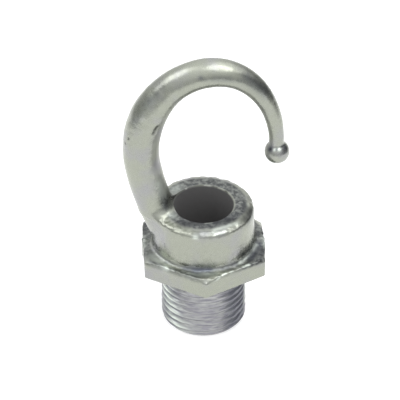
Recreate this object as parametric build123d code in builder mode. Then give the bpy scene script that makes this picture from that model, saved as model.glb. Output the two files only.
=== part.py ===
"""A cast hook with a half-inch pipe thread: hook, collar, hexagon and threaded foot in one piece.

The hook lies in the XZ plane, where the two halves of the mould met. The origin is on the axis
of the wire hole, at the end of the threaded foot. Z points up, and the ball is on the +X side.
"""
from build123d import *
import os
from math import cos, radians, tan

# The threaded foot: a half-inch parallel pipe thread with its true section, drawn as rings without a lead
THREAD_DIAMETER = 20.955
THREAD_PITCH = 25.4 / 14
THREAD_DEPTH = 1.1
THREAD_TURNS = 8
FIRST_GROOVE_Z = 1.35
FLANK_WIDTH = 0.6
ROOT_WIDTH = 0.3
FOOT_LENGTH = 17.7
FOOT_CHAMFER_WIDTH = 0.85
FOOT_CHAMFER_HEIGHT = 1.1

# The hexagon for the wrench: two flats face along X, and the mould's draft leaves a ridge on them
HEX_ACROSS_FLATS = 29.7
HEX_HEIGHT = 5.4
HEX_CORNER_ROUND = 0.9
HEX_RIDGE = 0.3
HEX_BEVEL_RADIUS = 15.9
HEX_BEVEL_ANGLE = 28

# The round collar, with the mould's draft and a rolled rim
COLLAR_TOP_Z = 34.0
COLLAR_BASE_RADIUS = 12.7
COLLAR_TOP_RADIUS = 12.4
COLLAR_FILLET = 0.7
RIM_FLAT_RADIUS = 10.5
RIM_DROP = 1.3

# The hole for the wires runs from the rim to the end of the foot
WIRE_HOLE_DIAMETER = 14.65

# The hook's centre line: a leaning ellipse, then a stem that runs down into the collar's wall
HOOK_CENTRE = (1.25, 52.15)
HOOK_HALF_WIDTH = 16.5
HOOK_HALF_HEIGHT = 21.7
HOOK_LEAN = -6.4
STEM_AT_RIM = (-12.75, 36.0)
STEM_FOOT = (-8.0, 24.5)
STEM_FOOT_DIRECTION = (0.2, -1)
STEM_FILLET = 1.1

# Round sections of the hook: the angle on the ellipse, and the radius there
NECK = (4, 1.7)
TIP = (30, 2.1)
RISE = (60, 2.86)
CROWN = (92, 3.62)
BACK = (125, 3.8)
SHOULDER = (162, 4.48)
SIDE = (185, 4.33)
STEM_START = (205, 4.35)
STEM_FOOT_RADIUS = 4.3

# The ball on the tip keeps a wire from slipping off
BALL_RADIUS = 3.07
BALL_CENTRE = (17.88, 49.8)
BALL_FILLET = 0.8

thread_radius = THREAD_DIAMETER / 2
wire_hole_radius = WIRE_HOLE_DIAMETER / 2
hex_apothem = HEX_ACROSS_FLATS / 2
hex_half_flat = hex_apothem * tan(radians(30))
hex_corner_reach = hex_apothem / cos(radians(30))
hex_top_z = FOOT_LENGTH + HEX_HEIGHT
hook_sweep = STEM_START[0] - NECK[0]

# Outline of the thread, groove by groove from the foot up
thread_outline = []
for turn in range(THREAD_TURNS):
    groove_z = FIRST_GROOVE_Z + turn * THREAD_PITCH
    thread_outline += [
        (thread_radius, groove_z),
        (thread_radius - THREAD_DEPTH, groove_z + FLANK_WIDTH),
        (thread_radius - THREAD_DEPTH, groove_z + FLANK_WIDTH + ROOT_WIDTH),
        (thread_radius, groove_z + 2 * FLANK_WIDTH + ROOT_WIDTH),
    ]

with BuildPart() as threaded_hook:
    # Threaded foot, chamfered where the thread starts
    with BuildSketch(Plane.XZ):
        with BuildLine():
            Polyline(
                (0, 0),
                (thread_radius - FOOT_CHAMFER_WIDTH, 0),
                (thread_radius, FOOT_CHAMFER_HEIGHT),
                *thread_outline,
                (thread_radius, FOOT_LENGTH),
                (0, FOOT_LENGTH),
                close=True,
            )
        make_face()
    revolve(axis=Axis.Z)

    # Hexagon, with the low ridge on its two side flats
    with BuildSketch(Plane.XY.offset(FOOT_LENGTH)):
        RegularPolygon(hex_apothem, 6, major_radius=False, rotation=30)
        fillet(vertices(), HEX_CORNER_ROUND)
        ridge_half = hex_half_flat - HEX_CORNER_ROUND
        for side in (1, -1):
            with BuildLine():
                Polyline(
                    (side * hex_apothem, -ridge_half),
                    (side * (hex_apothem + HEX_RIDGE), 0),
                    (side * hex_apothem, ridge_half),
                    close=True,
                )
            make_face()
    extrude(amount=HEX_HEIGHT)

    # Bevel on the upper corners of the hexagon
    bevel_drop = (hex_corner_reach - HEX_BEVEL_RADIUS) * tan(radians(HEX_BEVEL_ANGLE))
    with BuildSketch(Plane.XZ):
        with BuildLine():
            Polyline(
                (HEX_BEVEL_RADIUS, hex_top_z),
                (hex_corner_reach, hex_top_z),
                (hex_corner_reach, hex_top_z - bevel_drop),
                close=True,
            )
        make_face()
    revolve(axis=Axis.Z, mode=Mode.SUBTRACT)

    # Collar with its rolled rim, and the fillet at its root
    with BuildSketch(Plane.XZ):
        with BuildLine():
            Polyline(
                (RIM_FLAT_RADIUS, COLLAR_TOP_Z),
                (0, COLLAR_TOP_Z),
                (0, hex_top_z),
                (COLLAR_BASE_RADIUS, hex_top_z),
                (COLLAR_TOP_RADIUS, COLLAR_TOP_Z - RIM_DROP),
            )
            EllipticalCenterArc(
                (RIM_FLAT_RADIUS, COLLAR_TOP_Z - RIM_DROP),
                COLLAR_TOP_RADIUS - RIM_FLAT_RADIUS,
                RIM_DROP,
                start_angle=0,
                arc_size=90,
            )
        make_face()
    revolve(axis=Axis.Z)
    collar_root = edges(Select.LAST).filter_by(GeomType.CIRCLE).sort_by(Axis.Z)[0]
    fillet(collar_root, COLLAR_FILLET)

    # Hook: round sections on the centre line, from the neck over the crown and down the stem
    with BuildLine(Plane.XZ) as centre_line:
        arch = EllipticalCenterArc(
            HOOK_CENTRE,
            HOOK_HALF_WIDTH,
            HOOK_HALF_HEIGHT,
            start_angle=NECK[0],
            arc_size=hook_sweep,
            rotation=HOOK_LEAN,
        )
        stem = Spline(arch @ 1, STEM_AT_RIM, STEM_FOOT, tangents=[arch % 1, STEM_FOOT_DIRECTION])
    for angle, radius in (NECK, TIP, RISE, CROWN, BACK, SHOULDER, SIDE, STEM_START):
        along = (angle - NECK[0]) / hook_sweep
        place = arch.position_at(along, position_mode=PositionMode.PARAMETER)
        direction = arch.tangent_at(along, position_mode=PositionMode.PARAMETER)
        with BuildSketch(Plane(place, x_dir=(0, 1, 0), z_dir=direction)):
            Circle(radius)
    for along in (0.5, 1):
        with BuildSketch(Plane(stem @ along, x_dir=(0, 1, 0), z_dir=stem % along)):
            Circle(STEM_FOOT_RADIUS)
    loft()
    stem_root = edges(Select.NEW).filter_by(GeomType.BSPLINE)
    fillet(stem_root, STEM_FILLET)

    # Ball on the tip
    with Locations((BALL_CENTRE[0], 0, BALL_CENTRE[1])):
        Sphere(BALL_RADIUS)
    ball_neck = edges(Select.NEW).filter_by(GeomType.BSPLINE)
    fillet(ball_neck, BALL_FILLET)

    # Wire hole, cut past the rim so that it also trims the root of the stem
    with BuildSketch(Plane.XY):
        Circle(wire_hole_radius)
    extrude(amount=COLLAR_TOP_Z + 2 * STEM_FILLET, mode=Mode.SUBTRACT)

threaded_hook.part.label = "threaded_hook"
os.makedirs("parts", exist_ok=True)
export_step(threaded_hook.part, "parts/threaded_hook.step")
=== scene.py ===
"""A plated cast hook on a half-inch pipe thread, standing on its threaded foot on a pale table."""
from math import cos, pi, radians, sin, tan

import bmesh
import bpy
import numpy as np
from mathutils import Matrix, Vector, noise
from mathutils.geometry import interpolate_bezier


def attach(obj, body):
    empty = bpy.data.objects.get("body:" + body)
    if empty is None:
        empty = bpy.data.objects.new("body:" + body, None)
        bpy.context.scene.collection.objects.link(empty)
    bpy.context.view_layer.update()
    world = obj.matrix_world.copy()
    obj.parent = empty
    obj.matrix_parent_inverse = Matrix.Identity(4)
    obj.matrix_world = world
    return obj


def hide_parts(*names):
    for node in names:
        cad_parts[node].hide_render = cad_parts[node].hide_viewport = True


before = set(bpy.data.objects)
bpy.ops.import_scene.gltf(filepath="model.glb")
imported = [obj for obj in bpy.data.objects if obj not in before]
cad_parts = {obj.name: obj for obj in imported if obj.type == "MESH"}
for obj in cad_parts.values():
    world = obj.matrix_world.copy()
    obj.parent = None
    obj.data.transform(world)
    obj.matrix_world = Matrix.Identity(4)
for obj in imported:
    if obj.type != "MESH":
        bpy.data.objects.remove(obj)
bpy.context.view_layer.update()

# The hook and its ball, of cast iron in one piece with the rest. The bar is round, thin at the neck and full
# at the shoulder. It follows a leaning ellipse, and below its left side a stem sinks into the collar's wall.
# All the shapes are drawn in millimetres and brought to metres when the casting is whole.
HOOK_CENTRE = (1.25, 52.15)
HOOK_HALF_WIDTH = 16.5
HOOK_HALF_HEIGHT = 21.7
HOOK_LEAN = radians(-6.4)
# Each stop has the angle on the ellipse, the radius there, and how far the line moves inward.
HOOK_STOPS = (
    (4, 1.78, 0.05),
    (28, 2.1, 0.2),
    (46, 2.52, 0.05),
    (70, 3.05, 0.0),
    (94, 3.62, 0.15),
    (106, 3.68, 0.3),
    (130, 3.85, 0.15),
    (142, 4.07, 0.05),
    (154, 4.42, 0.0),
    (166, 4.56, 0.0),
    (190, 4.46, 0.1),
    (205, 4.42, 0.08),
)
LINE_STEPS = 150
SMOOTH_STEPS = 15
STEM_HANDLES = ((-13.0, 36.1), (-9.7, 29.6))
STEM_FOOT = (-8.0, 24.5)
STEM_FOOT_RADIUS = 4.3
STEM_STEPS = 40
BALL_CENTRE = (17.88, 0, 49.8)
BALL_RADIUS = 3.07

stop_angles, stop_radii, stop_shifts = zip(*HOOK_STOPS)
line_angles = np.linspace(stop_angles[0], stop_angles[-1], LINE_STEPS)
smoother = np.ones(SMOOTH_STEPS) / SMOOTH_STEPS


def along_line(stop_values):
    """The values of the stops at every step of the line, with the corners between them smoothed."""
    drawn = np.interp(line_angles, stop_angles, stop_values)
    padded = np.pad(drawn, SMOOTH_STEPS // 2, "edge")
    return np.convolve(padded, smoother, "valid")


line_radii = list(along_line(stop_radii))
line_shifts = along_line(stop_shifts)
line_points = []
for angle, shift in zip(np.radians(line_angles), line_shifts):
    outward = Vector((HOOK_HALF_HEIGHT * cos(angle), HOOK_HALF_WIDTH * sin(angle))).normalized()
    across = HOOK_HALF_WIDTH * cos(angle) - shift * outward.x
    along = HOOK_HALF_HEIGHT * sin(angle) - shift * outward.y
    line_points.append((
        HOOK_CENTRE[0] + across * cos(HOOK_LEAN) - along * sin(HOOK_LEAN),
        0,
        HOOK_CENTRE[1] + across * sin(HOOK_LEAN) + along * cos(HOOK_LEAN),
    ))
stem_start = Vector(line_points[-1])
stem_handles = [Vector((x, 0, z)) for x, z in STEM_HANDLES]
stem_end = Vector((STEM_FOOT[0], 0, STEM_FOOT[1]))
stem_points = interpolate_bezier(stem_start, *stem_handles, stem_end, STEM_STEPS)[1:]
line_points += [tuple(p) for p in stem_points]
line_radii += list(np.linspace(line_radii[-1], STEM_FOOT_RADIUS, len(stem_points)))

hook_curve = bpy.data.curves.new("hook_line", "CURVE")
hook_curve.dimensions = "3D"
hook_curve.bevel_depth = 1
hook_curve.bevel_resolution = 14
hook_curve.use_fill_caps = True
spline = hook_curve.splines.new("POLY")
spline.points.add(len(line_points) - 1)
for point, place, radius in zip(spline.points, line_points, line_radii):
    point.co = (*place, 1)
    point.radius = radius
hook_bar = bpy.data.objects.new("hook_bar", hook_curve)
bpy.context.collection.objects.link(hook_bar)

bm = bmesh.new()
bmesh.ops.create_icosphere(bm, subdivisions=5, radius=BALL_RADIUS, matrix=Matrix.Translation(BALL_CENTRE))
ball_mesh = bpy.data.meshes.new("ball")
bm.to_mesh(ball_mesh)
bm.free()
ball = bpy.data.objects.new("ball", ball_mesh)
bpy.context.collection.objects.link(ball)

# The collar. It is a thick round boss with the mould's draft, and its rim is rolled over.
# It is cast with the hook, whose stem grows out of its left side.
HEX_TOP = 23.1
COLLAR_TOP = 34.0
COLLAR_BASE_RADIUS = 12.7
COLLAR_TOP_RADIUS = 12.4
COLLAR_FILLET = 0.9
COLLAR_BURY = 1
RIM_FLAT_RADIUS = 10.0
RIM_DROP = 1.3
WIRE_HOLE_RADIUS = 7.325
ROUND_STEPS = 180


def turned(name, outline):
    """A closed solid, turned about the Z axis from an outline of (radius, height) points."""
    bm = bmesh.new()
    rings = []
    for radius, height in outline:
        turns = [2 * pi * i / ROUND_STEPS for i in range(ROUND_STEPS if radius else 1)]
        rings.append([bm.verts.new((radius * cos(a), radius * sin(a), height)) for a in turns])
    for low, high in zip(rings, rings[1:]):
        for i in range(ROUND_STEPS):
            j = i + 1
            corners = [low[i % len(low)], low[j % len(low)], high[j % len(high)], high[i % len(high)]]
            bm.faces.new(dict.fromkeys(corners))
    mesh = bpy.data.meshes.new(name)
    bm.to_mesh(mesh)
    bm.free()
    solid = bpy.data.objects.new(name, mesh)
    bpy.context.collection.objects.link(solid)
    return solid


quarter = [radians(a) for a in range(0, 91, 10)]
root_curve = [
    (COLLAR_BASE_RADIUS + COLLAR_FILLET * (1 - sin(a)), HEX_TOP + COLLAR_FILLET * (1 - cos(a)))
    for a in quarter
]
rim_curve = [
    (
        RIM_FLAT_RADIUS + (COLLAR_TOP_RADIUS - RIM_FLAT_RADIUS) * cos(a),
        COLLAR_TOP - RIM_DROP * (1 - sin(a)),
    )
    for a in quarter
]
collar_foot = [(0, HEX_TOP - COLLAR_BURY), (root_curve[0][0], HEX_TOP - COLLAR_BURY)]
collar = turned("collar", [*collar_foot, *root_curve, *rim_curve, (0, COLLAR_TOP)])

# The hexagon for the wrench, cast with the collar. Its two side flats carry the low ridge where the halves
# of the mould met, and its upper corners are bevelled.
HEX_BOTTOM = 17.7
HEX_APOTHEM = 14.85
HEX_RIDGE = 0.3
HEX_BEVEL_RADIUS = 15.9
HEX_BEVEL_ANGLE = radians(28)
CUT_ROOM = 1

corner_reach = HEX_APOTHEM / cos(radians(30))
half_flat = HEX_APOTHEM * tan(radians(30))
outline = [
    (0, corner_reach),
    (-HEX_APOTHEM, half_flat),
    (-HEX_APOTHEM - HEX_RIDGE, 0),
    (-HEX_APOTHEM, -half_flat),
]
outline += [(-x, -y) for x, y in outline]
bm = bmesh.new()
base = bm.faces.new([bm.verts.new((x, y, HEX_BOTTOM)) for x, y in outline])
raised = bmesh.ops.extrude_face_region(bm, geom=[base])["geom"]
bmesh.ops.translate(
    bm, vec=(0, 0, HEX_TOP - HEX_BOTTOM), verts=[v for v in raised if isinstance(v, bmesh.types.BMVert)]
)
bmesh.ops.recalc_face_normals(bm, faces=bm.faces)
hex_mesh = bpy.data.meshes.new("hexagon")
bm.to_mesh(hex_mesh)
bm.free()
hexagon = bpy.data.objects.new("hexagon", hex_mesh)
bpy.context.collection.objects.link(hexagon)
cone_reach = corner_reach + CUT_ROOM
bevel_drop = (cone_reach - HEX_BEVEL_RADIUS) * tan(HEX_BEVEL_ANGLE)
bevel_cone = turned(
    "bevel_cone",
    [
        (0, HEX_BOTTOM - CUT_ROOM),
        (cone_reach, HEX_BOTTOM - CUT_ROOM),
        (cone_reach, HEX_TOP - bevel_drop),
        (HEX_BEVEL_RADIUS, HEX_TOP),
        (0, HEX_TOP),
    ],
)


def cut(solid, tool, operation):
    """Joins the tool to the solid, or cuts it away, and removes the tool."""
    step = solid.modifiers.new(tool.name, "BOOLEAN")
    step.operation = operation
    step.solver = "MANIFOLD"
    step.object = tool
    make_real(solid)
    bpy.data.objects.remove(tool)


def make_real(solid):
    """Turns an object with its modifiers into a plain mesh."""
    view = bpy.context.evaluated_depsgraph_get()
    mesh = bpy.data.meshes.new_from_object(solid.evaluated_get(view))
    solid.modifiers.clear()
    solid.data = mesh


cut(hexagon, bevel_cone, "INTERSECT")

# The casting. The pieces above are fused into one skin of even small faces, as iron fills one mould.
# The corner where the stem meets the collar is filled with a round fillet, which is largest at the rim.
VOXEL = 0.28
SKIN_SMOOTHING = 6
FILLET_LOW = 0.8
FILLET_HIGH = 3.2
FILLET_STARTS = (25.0, 33.0)
FILLET_FULL = 28.5
FILLET_REACH = 3.5
FILLET_ROUNDS = 6
FILLET_PULL = 0.8
FILLET_PROBE = 0.05
FILLET_LEAST_SLOPE = 0.2

bm = bmesh.new()
for piece in (hook_bar, ball, collar, hexagon):
    view = bpy.context.evaluated_depsgraph_get()
    bm.from_mesh(bpy.data.meshes.new_from_object(piece.evaluated_get(view)))
    bpy.data.objects.remove(piece)
casting_mesh = bpy.data.meshes.new("threaded_hook_skin")
bm.to_mesh(casting_mesh)
bm.free()
casting = bpy.data.objects.new("casting", casting_mesh)
bpy.context.collection.objects.link(casting)
remesh = casting.modifiers.new("skin", "REMESH")
remesh.mode = "VOXEL"
remesh.voxel_size = VOXEL
make_real(casting)


def points_of(mesh):
    """The mesh's points as an array of rows."""
    flat = np.empty(len(mesh.vertices) * 3)
    mesh.vertices.foreach_get("co", flat)
    return flat.reshape(-1, 3)


def move_points(mesh, points):
    """Sets the mesh's points from an array of rows."""
    mesh.vertices.foreach_set("co", points.ravel())
    mesh.update()


def normals_of(mesh):
    """The mesh's point normals as an array of rows."""
    flat = np.empty(len(mesh.vertices) * 3)
    mesh.vertex_normals.foreach_get("vector", flat)
    return flat.reshape(-1, 3)


def fade(values, start, end):
    """Rises smoothly from 0 at the start to 1 at the end."""
    share = np.clip((values - start) / (end - start), 0, 1)
    return share * share * (3 - 2 * share)


def off_bar(points):
    """How far each point is outside the round bar of the hook."""
    nearest = np.full(len(points), 1e9)
    for place, radius in zip(line_points, line_radii):
        nearest = np.minimum(nearest, np.linalg.norm(points - place, axis=1) - radius)
    return nearest


def off_collar(points):
    """How far each point is outside the collar, near its upper end."""
    spread = np.hypot(points[:, 0], points[:, 1])
    out = (spread - RIM_FLAT_RADIUS) / (COLLAR_TOP_RADIUS - RIM_FLAT_RADIUS)
    above = (points[:, 2] - COLLAR_TOP + RIM_DROP) / RIM_DROP
    rim = RIM_DROP * (np.hypot(out, above) - 1)
    wall = spread - COLLAR_TOP_RADIUS
    return np.where(out < 0, points[:, 2] - COLLAR_TOP, np.where(above < 0, wall, rim))


def off_blend(points):
    """How far each point is outside the bar and the collar, with a fillet between them."""
    bar = off_bar(points)
    boss = off_collar(points)
    size = FILLET_LOW + (FILLET_HIGH - FILLET_LOW) * fade(points[:, 2], *FILLET_STARTS)
    overlap = np.maximum(size - np.abs(bar - boss), 0) / size
    return np.minimum(bar, boss) - overlap * overlap * size / 4


points = points_of(casting.data)
at_joint = (np.abs(off_bar(points)) < FILLET_REACH) & (np.abs(off_collar(points)) < FILLET_REACH)
at_joint &= points[:, 2] > FILLET_STARTS[0]
at_joint = np.flatnonzero(at_joint)
before = points[at_joint]
moved = before.copy()
for step in range(FILLET_ROUNDS):
    value = off_blend(moved)
    rises = [
        off_blend(moved + FILLET_PROBE * axis) - off_blend(moved - FILLET_PROBE * axis)
        for axis in np.eye(3)
    ]
    slope = np.stack(rises, 1) / (2 * FILLET_PROBE)
    steepness = np.maximum((slope * slope).sum(1), FILLET_LEAST_SLOPE)
    moved -= FILLET_PULL * value[:, None] * slope / steepness[:, None]
share = fade(before[:, 2], FILLET_STARTS[0], FILLET_FULL)[:, None]
points[at_joint] = before + share * (moved - before)
move_points(casting.data, points)
soften = casting.modifiers.new("soften the skin", "SMOOTH")
soften.factor = 0.5
soften.iterations = SKIN_SMOOTHING
make_real(casting)

# The faults of the mould. Two rear corners of the hexagon came out low, the halves of the mould were a
# little out of line, and a thin flash stands on the hexagon where they met.
LOW_CORNERS = ((30, 1.2), (150, 0.5))
LOW_CORNER_ANGLES = (20, 3)
LOW_CORNER_RADII = (13.2, 16.6)
HALVES_OUT = 0.1
HALVES_STEP = 0.3
FLASH_HEIGHT = 0.35
FLASH_WIDTH = 0.4
FLASH_INNER_RADIUS = 12.9
BELOW_HEX_TOP = (HEX_TOP + 0.7, HEX_TOP + 0.2)
OUTSIDE_COLLAR = (COLLAR_BASE_RADIUS, COLLAR_BASE_RADIUS + 1.2)

points = points_of(casting.data)
spread = np.hypot(points[:, 0], points[:, 1])
bearing = np.degrees(np.arctan2(points[:, 1], points[:, 0]))
in_hexagon = fade(points[:, 2], *BELOW_HEX_TOP) * fade(spread, *OUTSIDE_COLLAR)
top_share = in_hexagon * fade(points[:, 2], HEX_BOTTOM + 1, HEX_TOP)
for corner, drop in LOW_CORNERS:
    near_corner = fade(np.abs(bearing - corner), *LOW_CORNER_ANGLES) * fade(spread, *LOW_CORNER_RADII)
    points[:, 2] -= drop * near_corner * top_share
points[:, 0] += in_hexagon * HALVES_OUT * (1 - 2 * fade(points[:, 1], -HALVES_STEP, HALVES_STEP))
flash = FLASH_HEIGHT * np.exp(-((points[:, 1] / FLASH_WIDTH) ** 2)) * (spread > FLASH_INNER_RADIUS)
points[:, 2] += top_share * flash
move_points(casting.data, points)

# The skin of the casting. The mould's sand leaves it a little wavy, and rougher on the rim, along the
# hexagon's edges and in the corner between them. It has a crack-like fold and some pits.
# A layer of waves has its length, height and start, and a dent has its place, reach and depth.
SKIN_WAVES = ((4.5, 0.07, 3.1), (1.9, 0.025, 7.7))
RIM_WAVES = ((2.2, 0.14, 11.3), (0.9, 0.11, 5.9), (0.65, 0.06, 3.3))
EDGE_WAVES = ((2.6, 0.26, 2.3), (1.0, 0.2, 8.1))
ROOT_WAVES = ((2.1, 0.16, 4.9), (0.9, 0.08, 6.6))
RIM_LOW = (COLLAR_TOP - 2.2, COLLAR_TOP - 1.0)
RIM_HIGH = (COLLAR_TOP + 1.2, COLLAR_TOP + 0.4)
EDGE_REACH = (1.6, 0.5)
ROOT_REACH = (1.5, 0.6)
ROOT_OFFSET = 0.5
RIM_MARGIN = 0.5
EVEN_MOUTH = 1.5
EVEN_UNDERSIDE = (HEX_BOTTOM - 0.2, HEX_BOTTOM + 0.6)
DENTS = (
    ((-12.1, -4.0, 58.6), 0.45, 0.25),
    ((-11.7, -3.9, 59.5), 0.5, 0.3),
    ((-11.3, -3.8, 60.4), 0.4, 0.2),
    ((-18.2, -2.9, 56.5), 0.3, 0.15),
    ((-19.0, -2.1, 54.5), 0.3, 0.15),
    ((16.16, -1.72, 51.67), 0.45, 0.05),
)


def waves(points, layers):
    """Layers of soft noise at the points, each with its own length, height and start."""
    total = np.zeros(len(points))
    for length, height, start in layers:
        shift = Vector((start, 0, 0))
        total += height * np.array([noise.noise(Vector(p) / length + shift) for p in points])
    return total


def rough_rim(points):
    """One on the rolled rim and its flat top, and nothing elsewhere."""
    spread = np.hypot(points[:, 0], points[:, 1])
    above = fade(points[:, 2], *RIM_LOW)
    below = fade(points[:, 2], *RIM_HIGH)
    return above * below * (spread < COLLAR_TOP_RADIUS + RIM_MARGIN)


def rough_edge(points):
    """One along the upper edges of the hexagon, and nothing elsewhere."""
    spread = np.hypot(points[:, 0], points[:, 1])
    bearing = np.degrees(np.arctan2(points[:, 1], points[:, 0]))
    off_flat = (bearing + 30) % 60 - 30
    edge = HEX_APOTHEM / np.cos(np.radians(off_flat))
    return fade(np.hypot(spread - edge, points[:, 2] - HEX_TOP), *EDGE_REACH)


def rough_root(points):
    """One in the round corner between the collar and the hexagon's top, and nothing elsewhere."""
    spread = np.hypot(points[:, 0], points[:, 1])
    return fade(np.hypot(spread - COLLAR_BASE_RADIUS - ROOT_OFFSET, points[:, 2] - HEX_TOP), *ROOT_REACH)


points = points_of(casting.data)
spread = np.hypot(points[:, 0], points[:, 1])
skin = waves(points, SKIN_WAVES)
rim = rough_rim(points) * fade(spread, WIRE_HOLE_RADIUS, WIRE_HOLE_RADIUS + EVEN_MOUTH)
skin += rough_root(points) * waves(points, ROOT_WAVES)
skin += rim * waves(points, RIM_WAVES)
skin += rough_edge(points) * waves(points, EDGE_WAVES)
for place, reach, depth in DENTS:
    skin -= depth * np.exp(-(np.linalg.norm(points - place, axis=1) / reach) ** 2)
skin *= fade(points[:, 2], *EVEN_UNDERSIDE)
move_points(casting.data, points + skin[:, None] * normals_of(casting.data))

# The threaded foot. A right-handed half-inch pipe thread is cut on it, fourteen turns to the inch, with a
# chamfer at its start. It is worn and clogged with plating: shallow, most of all in front, and wavy, with
# streaks along its turns.
PITCH = 25.4 / 14
THREAD_RADIUS = 20.955 / 2
THREAD_DEPTH = 0.48
THREAD_STOPS = 12
THREAD_COLUMNS = 144
THREAD_TURNS = 12
THREAD_LEAD_IN = 1.5
THREAD_FADE = (14.6, 16.6)
FOOT_CHAMFER_WIDTH = 0.85
FOOT_CHAMFER_HEIGHT = 1.1
FOOT_BURY = 0.6
FOOT_WAVES = ((3.0, 0.5, 0.1, 4.4), (1.4, 0.35, 0.07, 9.2))
CLOGGED_BEARINGS = (42, 12)
CLOGGED_SHARE = 0.42
FOOT_HUBS = (-1.0, 19.0)
FOOT_CUT_ROOM = 0.15

bm = bmesh.new()
grid = []
for row in range(THREAD_TURNS * THREAD_STOPS + 1):
    share = (row % THREAD_STOPS) / THREAD_STOPS
    sunk = 0.5 - 0.5 * cos(2 * pi * share)
    ring = []
    for column in range(THREAD_COLUMNS):
        turn = column / THREAD_COLUMNS
        height = (row // THREAD_STOPS + share + turn - THREAD_LEAD_IN) * PITCH
        kept = np.clip((THREAD_FADE[1] - height) / (THREAD_FADE[1] - THREAD_FADE[0]), 0, 1)
        from_front = abs((360 * turn + 270) % 360 - 180)
        clogged = CLOGGED_SHARE * fade(from_front, *CLOGGED_BEARINGS)
        radius = THREAD_RADIUS - THREAD_DEPTH * sunk * kept * (1 - clogged)
        angle = 2 * pi * turn
        for length, rise, size, start in FOOT_WAVES:
            radius += size * noise.noise((
                THREAD_RADIUS * cos(angle) / length + start,
                THREAD_RADIUS * sin(angle) / length,
                height / rise,
            ))
        ring.append(bm.verts.new((radius * cos(angle), radius * sin(angle), height)))
    grid.append(ring)
for row in range(THREAD_TURNS * THREAD_STOPS):
    low = grid[row]
    high = grid[row + 1]
    for column in range(THREAD_COLUMNS - 1):
        bm.faces.new((low[column], low[column + 1], high[column + 1], high[column]))
    if row + 1 + THREAD_STOPS < len(grid):
        bm.faces.new((low[-1], grid[row + THREAD_STOPS][0], grid[row + 1 + THREAD_STOPS][0], high[-1]))
first_seam = [ring[0] for ring in grid[THREAD_STOPS:0:-1]]
last_seam = [ring[-1] for ring in grid[-2:-2 - THREAD_STOPS:-1]]
for end_loop, height in zip((grid[0] + first_seam, grid[-1] + last_seam), FOOT_HUBS):
    hub = bm.verts.new((0, 0, height))
    for first, second in zip(end_loop, end_loop[1:] + end_loop[:1]):
        bm.faces.new((first, second, hub))
bmesh.ops.recalc_face_normals(bm, faces=bm.faces)
foot_mesh = bpy.data.meshes.new("foot")
bm.to_mesh(foot_mesh)
bm.free()
foot = bpy.data.objects.new("foot", foot_mesh)
bpy.context.collection.objects.link(foot)
foot_outline = turned(
    "foot_outline",
    [
        (0, 0),
        (THREAD_RADIUS - FOOT_CHAMFER_WIDTH, 0),
        (THREAD_RADIUS, FOOT_CHAMFER_HEIGHT),
        (THREAD_RADIUS + FOOT_CUT_ROOM, FOOT_CHAMFER_HEIGHT + 0.2),
        (THREAD_RADIUS + FOOT_CUT_ROOM, HEX_BOTTOM + FOOT_BURY),
        (0, HEX_BOTTOM + FOOT_BURY),
    ],
)
cut(foot, foot_outline, "INTERSECT")
cut(casting, foot, "UNION")

# The hole for the wires. It is bored through the whole piece, and its two mouths are a little bevelled.
MOUTH_BEVEL = 0.35
BORE_PAST_RIM = 3

bore = turned(
    "bore",
    [
        (0, -CUT_ROOM),
        (WIRE_HOLE_RADIUS + MOUTH_BEVEL, -CUT_ROOM),
        (WIRE_HOLE_RADIUS + MOUTH_BEVEL, 0),
        (WIRE_HOLE_RADIUS, MOUTH_BEVEL),
        (WIRE_HOLE_RADIUS, COLLAR_TOP - MOUTH_BEVEL),
        (WIRE_HOLE_RADIUS + MOUTH_BEVEL, COLLAR_TOP),
        (WIRE_HOLE_RADIUS + MOUTH_BEVEL, COLLAR_TOP + BORE_PAST_RIM),
        (0, COLLAR_TOP + BORE_PAST_RIM),
    ],
)
cut(casting, bore, "DIFFERENCE")

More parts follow.
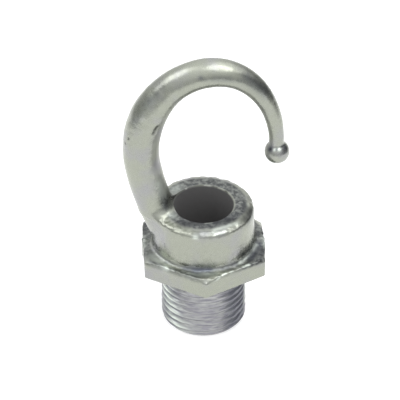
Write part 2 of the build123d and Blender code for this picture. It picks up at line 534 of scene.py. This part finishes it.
# The finished piece takes the place of the plain solid. Its points carry what the plating shows and what is
# painted on it: painted shade in blue, painted dark spots and grime near black, painted highlights, rough
# faces, raw speckled ones that look up, the cut foot and the dull bore. Each spot has its two ends, its
# reach and its strength.
# Painted shade: blue-black spots where shade and dark reflections fall, in the hook's inner corner, under
# the crown's highlight, on the shoulders and the ball, on the rim and in the corners round the collar's
# root.
PAINTED_SHADE_SPOTS = (
    ((-8.6, -2.8, 36.6), (-8.9, -2.6, 37.8), 1.8, 0.3),
    ((-9.9, -3.6, 41.0), (-9.5, -3.8, 36.2), 1.0, 0.4),
    ((-9.6, 4.6, 33.8), (-9.8, 6.6, 33.7), 0.8, 0.35),
    ((-2.6, -13.0, 23.5), (0.6, -13.1, 23.5), 1.5, 0.6),
    ((11.4, -4.6, 33.4), (11.8, -2.6, 33.4), 2.2, 0.25),
    ((-5.0, -7.8, 34.0), (6.5, -6.4, 34.0), 1.9, 0.3),
    ((-9.4, -3.4, 34.5), (-9.4, -3.4, 34.5), 0.9, 0.35),
    ((-2.4, -11.6, 33.7), (3.8, -11.1, 33.7), 0.9, 0.36),
    ((-2.6, -13.2, 23.3), (5.6, -12.2, 23.3), 0.7, 0.45),
    ((-12.6, -4.2, 23.4), (-9.4, -9.4, 23.4), 0.5, 0.3),
    ((-9.4, -9.4, 23.4), (-4.4, -12.6, 23.4), 0.6, 0.32),
    ((-13.6, -8.4, 22.9), (-1.5, -15.6, 22.9), 0.35, 0.45),
    ((-0.8, -3.6, 74.1), (8.7, -3.2, 73.1), 0.6, 0.25),
    ((11.0, -6.0, 33.2), (12.0, -3.0, 33.2), 1.2, 0.2),
    ((-5.0, -12.0, 23.6), (7.5, -10.8, 23.6), 0.8, 0.4),
    ((11.6, -7.0, 23.1), (13.5, -3.0, 23.1), 1.8, 0.5),
    ((-1.0, -3.5, 74.6), (-0.7, -3.5, 74.6), 0.5, 0.4),
    ((2.5, -3.5, 74.6), (6.5, -3.4, 74.2), 0.6, 0.25),
    ((10.6, -2.2, 73.2), (14.6, -1.8, 69.3), 1.7, 0.5),
    ((-11.4, -3.0, 69.4), (-14.2, -2.9, 66.4), 1.0, 0.25),
    ((16.16, -1.72, 51.67), (16.16, -1.72, 51.67), 0.8, 0.85),
    ((17.6, -2.19, 51.94), (17.6, -2.19, 51.94), 0.32, 1.0),
    ((19.72, -1.37, 51.85), (19.72, -1.37, 51.85), 0.9, 0.7),
)
# Painted dark spots, near black, where shade and dark reflections fall on the rim's front and right and
# along the hexagon's top edges.
PAINTED_DARK_SPOTS = (
    ((-5.0, -7.9, 34.0), (6.5, -6.6, 34.0), 1.5, 0.62),
    ((10.0, -5.8, 33.6), (11.2, -2.4, 33.6), 1.4, 0.7),
    ((12.4, -7.0, 23.1), (14.0, -4.0, 23.1), 1.5, 0.4),
    ((-12.6, -9.0, 22.9), (-10.6, -10.2, 22.9), 0.4, 0.45),
    ((-8.6, -11.4, 22.9), (-6.4, -12.7, 22.9), 0.4, 0.55),
    ((-4.6, -13.8, 22.9), (-2.6, -14.9, 22.9), 0.4, 0.45),
)
# Painted highlights: a pale colour where glints and reflections fall, on the ball, the rim, the hexagon's
# edges, the stem and the thread.
PAINTED_HIGHLIGHTS = (
    ((17.2, -2.1, 51.95), (17.1, -2.2, 51.7), 0.3, 0.8),
    ((15.6, -1.7, 48.9), (16.8, -2.2, 48.2), 0.5, 0.5),
    ((-10.9, -3.2, 42.9), (-9.5, -2.9, 38.6), 1.1, 0.4),
    ((18.35, -2.1, 52.0), (18.35, -2.2, 51.8), 0.4, 1.0),
    ((-2.6, -12.2, 33.0), (-2.0, -12.2, 33.0), 0.5, 0.7),
    ((2.1, -15.8, 22.4), (3.4, -15.0, 22.8), 0.28, 1.0),
    ((4.1, -14.5, 23.0), (5.1, -13.9, 23.1), 0.25, 1.0),
    ((6.2, -13.4, 23.0), (6.9, -13.0, 23.1), 0.2, 0.8),
    ((9.4, -11.3, 23.1), (10.9, -10.5, 23.1), 0.35, 1.0),
    ((-9.6, -11.2, 23.0), (-9.0, -11.6, 23.0), 0.3, 0.5),
    ((-8.2, -12.0, 23.0), (-7.6, -12.4, 23.0), 0.25, 0.4),
    ((2.5, -11.5, 33.4), (5.0, -10.6, 33.4), 0.4, 0.4),
    ((2.4, -10.4, 33.9), (8.0, -7.8, 33.9), 0.6, 0.4),
    ((-3.5, -13.9, 23.1), (2.5, -14.2, 23.1), 0.9, 0.35),
    ((-12.8, -6.6, 23.1), (-9.4, -11.0, 23.1), 1.1, 0.42),
    ((-8.2, 4.4, 34.0), (-6.4, 6.4, 34.0), 1.4, 0.25),
    ((-8.0, -4.6, 34.0), (-7.6, -5.0, 34.0), 0.9, 0.3),
    ((-14.6, 0.8, 22.9), (-14.8, -2.6, 22.9), 0.7, 0.25),
    ((15.2, -3.6, 22.8), (15.3, 0.8, 22.8), 0.6, 0.55),
    ((-16.6, -3.0, 61.5), (-12.6, -3.1, 68.0), 1.3, 0.16),
    ((8.6, -10.2, 23.4), (12.9, -3.0, 23.4), 0.6, 0.5),
    ((0.3, -7.7, 34.0), (1.8, -7.4, 34.0), 0.3, 0.8),
    ((-6.4, -8.2, 0.5), (-9.4, -4.8, 11.0), 2.8, 1.0),
    ((10.3, -2.0, 5.0), (10.3, -2.0, 12.0), 1.1, 0.5),
)
DENT_DARKNESS = 0.9
RIM_FRONT = (-3, -7)
RAW_PAST_FLAT = 0.7
RAW_LESS_IN_FRONT = 0.6
RAW_RIM_FADE = (0.5, -0.5)
CLEAR_OF_STEM = (0.6, 1.6)
PALE_MOUTH = 0.8
PALE_MOUTH_REACH = (0.65, 0.25)
PALE_MOUTH_BACK = (-5.5, -2.5)
RAW_TOP_BAND = (1.1, 0.4)
RAW_TOP_RADII = (12.5, 13.2)
RAW_BEARINGS = (-180, -158, -142, -126, -114, -62, -48, 180)
RAW_LEVELS = (1, 1, 0.05, 0.0, 0.35, 0.4, 1, 1)
EDGE_LESS_RAW = 0.5
CLEAN_ROOT = (-182, -172, -115, -130)
CLEAN_ROOT_WIDTH = 0.7
BROKEN_EDGE = (-156, -146, -92, -100)
BROKEN_EDGE_STRENGTH = 0.6
PAINTED_THREAD_SHADOW_BEARINGS = (-70, -46, -10, -20)
PAINTED_THREAD_SHADOW_STRENGTH = 0.6
GROOVE_SHADE_BEARINGS = (25, 55)
GROOVE_SHADE_STRENGTH = 0.6
INWARD_FACES = (0.15, 0.65)
ABOVE_RIM = (36, 40)
ARCH_HEIGHTS = (38, 44)
ARCH_RISE = 10
ARCH_LEFT = (0, -6)
STEM_SHARE = 0.5
ROUGH_EDGE = 0.35
ROUGH_FRONT = 0.75
FRONT_TOP_BAND = (1.2, 0.5)
FRONT_TOP_RADII = (12.6, 13.2)
FOOT_MARK = (HEX_BOTTOM + 0.1, HEX_BOTTOM - 0.1)
BORE_MARK = (0.3, 0.05)
BORE_MARK_TOP = COLLAR_TOP - 0.1
MILLIMETRE = 0.001
SHARP_EDGE = radians(50)

threaded_hook = casting
points = points_of(threaded_hook.data)
spread = np.hypot(points[:, 0], points[:, 1])
bearing = np.degrees(np.arctan2(points[:, 1], points[:, 0]))


def spots(points, places):
    """Soft spots drawn out along a line, each with its two ends, reach and strength."""
    total = np.zeros(len(points))
    for start, end, reach, strength in places:
        start = np.array(start)
        line = np.array(end) - start
        share = np.clip((points - start) @ line / max(line @ line, 1e-9), 0, 1)
        off = np.linalg.norm(points - start - share[:, None] * line, axis=1)
        total += strength * np.exp(-(off / reach) ** 2)
    return np.clip(total, 0, 1)


def mark(name, values):
    """Stores a value from 0 to 1 for each point of the finished piece."""
    layer = threaded_hook.data.attributes.new(name, "FLOAT", "POINT")
    layer.data.foreach_set("value", np.clip(values, 0, 1))


def between(values, low_start, low_end, high_start, high_end):
    """One between two limits, with a soft fade at each."""
    return fade(values, low_start, low_end) * fade(values, high_start, high_end)


raw_radius = RIM_FLAT_RADIUS + RAW_PAST_FLAT - RAW_LESS_IN_FRONT * fade(points[:, 1], *RIM_FRONT)
pale_mouth = PALE_MOUTH * fade(spread - WIRE_HOLE_RADIUS, *PALE_MOUTH_REACH)
pale_mouth *= fade(points[:, 1], *PALE_MOUTH_BACK)
on_rim = rough_rim(points) * fade(off_bar(points), *CLEAR_OF_STEM) * (1 - pale_mouth)
on_rim *= fade(spread - raw_radius, *RAW_RIM_FADE)
on_edge = rough_edge(points)
root_shift = CLEAN_ROOT_WIDTH * between(bearing, *CLEAN_ROOT)
on_top = fade(np.abs(points[:, 2] - HEX_TOP), *RAW_TOP_BAND)
on_top *= fade(spread, RAW_TOP_RADII[0] + root_shift, RAW_TOP_RADII[1] + root_shift)
raw_level = np.interp(bearing, RAW_BEARINGS, RAW_LEVELS)
on_top *= raw_level * (1 - EDGE_LESS_RAW * on_edge * (1 - raw_level))
on_foot = points[:, 2] < HEX_BOTTOM
# Painted shadow on the right side of the thread, where the part shades the table beside it.
painted_thread_shadow = PAINTED_THREAD_SHADOW_STRENGTH * between(bearing, *PAINTED_THREAD_SHADOW_BEARINGS) * on_foot
to_middle = np.array((HOOK_CENTRE[0], 0, HOOK_CENTRE[1])) - points
to_middle /= np.linalg.norm(to_middle, axis=1)[:, None]
inward = (normals_of(threaded_hook.data) * to_middle).sum(1)
on_arch = fade(points[:, 2] - ARCH_RISE * fade(points[:, 0], *ARCH_LEFT), *ARCH_HEIGHTS)
inner = fade(inward, *INWARD_FACES) * (STEM_SHARE + (1 - STEM_SHARE) * on_arch)
inner *= fade(points[:, 2], *ABOVE_RIM)
in_groove = np.clip((THREAD_RADIUS - spread) / THREAD_DEPTH, 0, 1) * on_foot
from_front = np.abs((bearing + 270) % 360 - 180)
# Painted shade in the thread's grooves, stronger away from the front.
painted_groove_shade = GROOVE_SHADE_STRENGTH * in_groove * fade(from_front, *GROOVE_SHADE_BEARINGS)
front_top = fade(np.abs(points[:, 2] - HEX_TOP), *FRONT_TOP_BAND) * fade(spread, *FRONT_TOP_RADII)
rubbed = ROUGH_EDGE * np.maximum(on_edge, rough_rim(points))
mark("rough", np.maximum.reduce([inner, rubbed, ROUGH_FRONT * front_top]))
mark("painted_highlight", spots(points, PAINTED_HIGHLIGHTS) * (1 - in_groove))
# The dents are painted near black: grime in the pits and the fold, and painted shade in the hollow on the
# ball.
dent_darkening = [(place, place, reach, DENT_DARKNESS) for place, reach, depth in DENTS]
mark("grime_and_shade", spots(points, dent_darkening + list(PAINTED_DARK_SPOTS)))
mark("painted_shade", np.maximum.reduce([spots(points, PAINTED_SHADE_SPOTS), painted_thread_shadow, painted_groove_shade]))
broken_edge = BROKEN_EDGE_STRENGTH * on_edge * between(bearing, *BROKEN_EDGE)
mark("raw", np.maximum.reduce([on_rim, on_top, broken_edge]))
mark("cut", fade(points[:, 2], *FOOT_MARK))
mark("bore", fade(np.abs(spread - WIRE_HOLE_RADIUS), *BORE_MARK) * (points[:, 2] < BORE_MARK_TOP))
threaded_hook.name = "threaded_hook_cast"
threaded_hook.data.transform(Matrix.Scale(MILLIMETRE, 4))
for face in threaded_hook.data.polygons:
    face.use_smooth = True
threaded_hook.data.set_sharp_from_angle(angle=SHARP_EDGE)
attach(threaded_hook, "root")
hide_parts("threaded_hook")

# The plating, a thin coat of zinc over the rough iron. It is grey with a green and a violet cast in soft
# patches, and streaky on the cut foot. The raw faces are dark and speckled, and the bore is dull and dark.
# Over it lie painted shade in blue-black, painted highlights in pale grey, and painted dark spots with the
# grime.
# Patches have the scale of their noise and the two levels of it between which they fade.
GREEN_GREY = (0.329, 0.343, 0.291, 1)
VIOLET_GREY = (0.316, 0.318, 0.322, 1)
CUT_DARK = (0.27, 0.266, 0.295, 1)
CUT_LIGHT = (0.4, 0.405, 0.4, 1)
# The colour of the painted highlights.
PAINTED_HIGHLIGHT_GREY = (0.76, 0.82, 0.75, 1)
# The colour of the painted shade.
PAINTED_SHADE_BLUE = (0.085, 0.093, 0.125, 1)
RAW_DARK = (0.08, 0.084, 0.084, 1)
RAW_LIGHT = (0.23, 0.24, 0.225, 1)
GRIME_AND_SHADE = (0.03, 0.03, 0.03, 1)
BORE_GREY = (0.076, 0.074, 0.074, 1)
TINT_PATCHES = (130.0, 0.42, 0.75)
GRAIN_PATCHES = (900.0, 0.35, 0.65)
SPECKLE_PATCHES = (850.0, 0.36, 0.7)
STREAK_PATCHES = (420.0, 0.34, 0.66)
STREAK_STRETCH = (1.0, 1.0, 6.0)
SMOOTH_DULLNESS = 0.22
GRAINY_DULLNESS = 0.32
CUT_DULLNESS = 0.34
ROUGH_DULLNESS = 0.5
RAW_DULLNESS = 0.45
BORE_DULLNESS = 0.8
GRAIN_STRENGTH = 0.12
GRAIN_HEIGHT = 0.0001


def node(tree, kind, settings, inputs):
    """A new node with its settings, and with each input set or linked."""
    made = tree.nodes.new(kind)
    for name, value in settings.items():
        setattr(made, name, value)
    for name, value in inputs.items():
        if isinstance(value, bpy.types.NodeSocket):
            tree.links.new(value, made.inputs[name])
        else:
            made.inputs[name].default_value = value
    return made


def patches(tree, place, scale, low, high):
    """A mask of soft patches of noise, 0 under the low level and 1 over the high one."""
    grain = {"Vector": place, "Scale": scale, "Detail": 3.0, "Roughness": 0.55}
    cloud = node(tree, "ShaderNodeTexNoise", {}, grain)
    levels = {"Value": cloud.outputs["Fac"], "From Min": low, "From Max": high}
    soft = {"interpolation_type": "SMOOTHSTEP"}
    return node(tree, "ShaderNodeMapRange", soft, levels).outputs["Result"]


def blend(tree, share, first, second):
    """A mix of two colours."""
    return node(tree, "ShaderNodeMix", {"data_type": "RGBA"}, {0: share, 6: first, 7: second}).outputs[2]


def mix_values(tree, share, first, second):
    """A mix of two values."""
    return node(tree, "ShaderNodeMix", {}, {0: share, 2: first, 3: second}).outputs[0]


plate = bpy.data.materials.new("zinc_plate")
plate.use_nodes = True
tree = plate.node_tree
shader = tree.nodes["Principled BSDF"]
place = tree.nodes.new("ShaderNodeTexCoord").outputs["Object"]
grime_and_shade, painted_shade, painted_highlight, rough, raw, machined, bored = [
    node(tree, "ShaderNodeAttribute", {"attribute_name": name}, {}).outputs["Fac"]
    for name in ("grime_and_shade", "painted_shade", "painted_highlight", "rough", "raw", "cut", "bore")
]
tint = patches(tree, place, *TINT_PATCHES)
grain = patches(tree, place, *GRAIN_PATCHES)
speckle = patches(tree, place, *SPECKLE_PATCHES)
colour = blend(tree, tint, GREEN_GREY, VIOLET_GREY)
raw_colour = blend(tree, speckle, RAW_DARK, RAW_LIGHT)
stretched = {0: place, 1: STREAK_STRETCH}
along = node(tree, "ShaderNodeVectorMath", {"operation": "MULTIPLY"}, stretched).outputs[0]
streaks = patches(tree, along, *STREAK_PATCHES)
cut_colour = blend(tree, streaks, CUT_DARK, CUT_LIGHT)
colour = blend(tree, machined, colour, cut_colour)
colour = blend(tree, raw, colour, raw_colour)
# Painted shade darkens the colour to blue-black.
colour = blend(tree, painted_shade, colour, PAINTED_SHADE_BLUE)
# Painted highlights lighten the colour.
colour = blend(tree, painted_highlight, colour, PAINTED_HIGHLIGHT_GREY)
# Grime and painted shade darken the colour to near black.
colour = blend(tree, grime_and_shade, colour, GRIME_AND_SHADE)
colour = blend(tree, bored, colour, BORE_GREY)
dull = mix_values(tree, grain, SMOOTH_DULLNESS, GRAINY_DULLNESS)
dull = mix_values(tree, machined, dull, CUT_DULLNESS)
dull = mix_values(tree, rough, dull, ROUGH_DULLNESS)
dull = mix_values(tree, raw, dull, RAW_DULLNESS)
dull = mix_values(tree, bored, dull, BORE_DULLNESS)
metal = mix_values(tree, bored, 1.0, 0.0)
grains = {"Strength": GRAIN_STRENGTH, "Distance": GRAIN_HEIGHT, "Height": grain}
bump = node(tree, "ShaderNodeBump", {}, grains)
tree.links.new(colour, shader.inputs["Base Color"])
tree.links.new(dull, shader.inputs["Roughness"])
tree.links.new(metal, shader.inputs["Metallic"])
tree.links.new(bump.outputs["Normal"], shader.inputs["Normal"])
threaded_hook.data.materials.clear()
threaded_hook.data.materials.append(plate)

# The table: a sheet of white paper that is lit to white. It lies loose under the part and reaches
# farther behind it than in front.
TABLE_SIZE = (0.4, 0.8)
TABLE_BACK = 0.2
TABLE_COLOUR = (0.5, 0.5, 0.5, 1)
TABLE_GLOW = 0.6
WHITE = (1, 1, 1, 1)

bm = bmesh.new()
table_place = Matrix.Translation((0, TABLE_BACK, 0)) @ Matrix.Diagonal((*TABLE_SIZE, 1, 1))
bmesh.ops.create_grid(bm, x_segments=1, y_segments=1, size=0.5, matrix=table_place)
table_mesh = bpy.data.meshes.new("table")
bm.to_mesh(table_mesh)
bm.free()
table = bpy.data.objects.new("table", table_mesh)
bpy.context.collection.objects.link(table)
table_top = bpy.data.materials.new("table_top")
table_top.use_nodes = True
shader = table_top.node_tree.nodes["Principled BSDF"]
shader.inputs["Base Color"].default_value = TABLE_COLOUR
shader.inputs["Roughness"].default_value = 1
shader.inputs["Specular IOR Level"].default_value = 0
shader.inputs["Emission Color"].default_value = WHITE
shader.inputs["Emission Strength"].default_value = TABLE_GLOW
table.data.materials.append(table_top)

# The room, as the metal and the table see it: paler with height, dark at the right and the left, with a
# soft box overhead, one on each side and two weak lights low down. To the camera it is plain white.
# A dark part or a light has its azimuth, its elevation, its full and its faded reach, and its level.
DARKS = (
    (102, 14, 15, 70, 0.34),
    (-85, 8, 10, 42, 0.6),
)
LIGHTS = (
    (40, 68, 14, 28, 1.8),
    (-90, 44, 10, 27, 1.9),
    (105, 58, 15, 42, 0.9),
    (170, -5, 20, 60, 0.25),
    (-5, 12, 8, 34, 0.14),
)
LEVELS = (
    (0.0, 0.65),
    (0.46, 0.7),
    (0.5, 0.72),
    (0.56, 0.76),
    (0.63, 0.88),
    (0.72, 1.05),
    (0.85, 1.32),
    (1.0, 1.4),
)
ROOM_RED = 0.99
ROOM_BLUE = 1.01


def lobe(tree, direction, azimuth, elevation, inner, outer, low, high):
    """A soft round patch of the sky: the high level inside it and the low one outside."""
    azimuth = radians(azimuth)
    elevation = radians(elevation)
    axis = (sin(azimuth) * cos(elevation), -cos(azimuth) * cos(elevation), sin(elevation))
    facing = node(tree, "ShaderNodeVectorMath", {"operation": "DOT_PRODUCT"}, {0: direction, 1: axis})
    levels = {
        "Value": facing.outputs["Value"],
        "From Min": cos(radians(outer)),
        "From Max": cos(radians(inner)),
        "To Min": low,
        "To Max": high,
    }
    soft = {"interpolation_type": "SMOOTHSTEP"}
    return node(tree, "ShaderNodeMapRange", soft, levels).outputs["Result"]


room = bpy.data.worlds.new("room")
bpy.context.scene.world = room
room.use_nodes = True
tree = room.node_tree
tree.nodes.clear()
output = tree.nodes.new("ShaderNodeOutputWorld")
direction = tree.nodes.new("ShaderNodeTexCoord").outputs["Generated"]
height = node(tree, "ShaderNodeSeparateXYZ", {}, {0: direction}).outputs["Z"]
whole_height = {"Value": height, "From Min": -1.0, "From Max": 1.0}
share = node(tree, "ShaderNodeMapRange", {}, whole_height).outputs["Result"]
ramp = node(tree, "ShaderNodeValToRGB", {}, {"Fac": share})
while len(ramp.color_ramp.elements) < len(LEVELS):
    ramp.color_ramp.elements.new(0.5)
for element, (position, level) in zip(ramp.color_ramp.elements, LEVELS):
    element.position = position
    element.color = (level * ROOM_RED, level, level * ROOM_BLUE, 1)
colour = ramp.outputs["Color"]
for azimuth, elevation, inner, outer, level in DARKS:
    strength = lobe(tree, direction, azimuth, elevation, inner, outer, 1.0, level)
    dimmed = {0: colour, "Scale": strength}
    colour = node(tree, "ShaderNodeVectorMath", {"operation": "SCALE"}, dimmed).outputs[0]
sky = node(tree, "ShaderNodeBackground", {}, {"Color": colour}).outputs[0]
for azimuth, elevation, inner, outer, level in LIGHTS:
    strength = lobe(tree, direction, azimuth, elevation, inner, outer, 0.0, level)
    light = node(tree, "ShaderNodeBackground", {}, {"Color": WHITE, "Strength": strength}).outputs[0]
    sky = node(tree, "ShaderNodeAddShader", {}, {0: sky, 1: light}).outputs[0]
seen = node(tree, "ShaderNodeBackground", {}, {"Color": WHITE}).outputs[0]
straight = tree.nodes.new("ShaderNodeLightPath").outputs["Is Camera Ray"]
mix = node(tree, "ShaderNodeMixShader", {}, {0: straight, 1: sky, 2: seen})
tree.links.new(mix.outputs[0], output.inputs["Surface"])

# The camera stands at the photograph's angle, far off, so the view is nearly flat.
VIEW_AZIMUTH = radians(-1.64)
VIEW_ELEVATION = radians(37.43)
VIEW_DISTANCE = 0.9
VIEW_TARGET = Vector((-0.00087, 0, 0.03522))
FOCAL_PIXELS = 3661.7
PICTURE_PIXELS = 400

back = Vector((
    sin(VIEW_AZIMUTH) * cos(VIEW_ELEVATION),
    -cos(VIEW_AZIMUTH) * cos(VIEW_ELEVATION),
    sin(VIEW_ELEVATION),
))
lens = bpy.data.cameras.new("camera")
lens.lens = FOCAL_PIXELS / PICTURE_PIXELS * lens.sensor_width
camera = bpy.data.objects.new("camera", lens)
camera.location = VIEW_TARGET + VIEW_DISTANCE * back
camera.rotation_euler = back.to_track_quat("Z", "Y").to_euler()
bpy.context.collection.objects.link(camera)
bpy.context.scene.camera = camera
bpy.context.scene.view_settings.view_transform = "Standard"
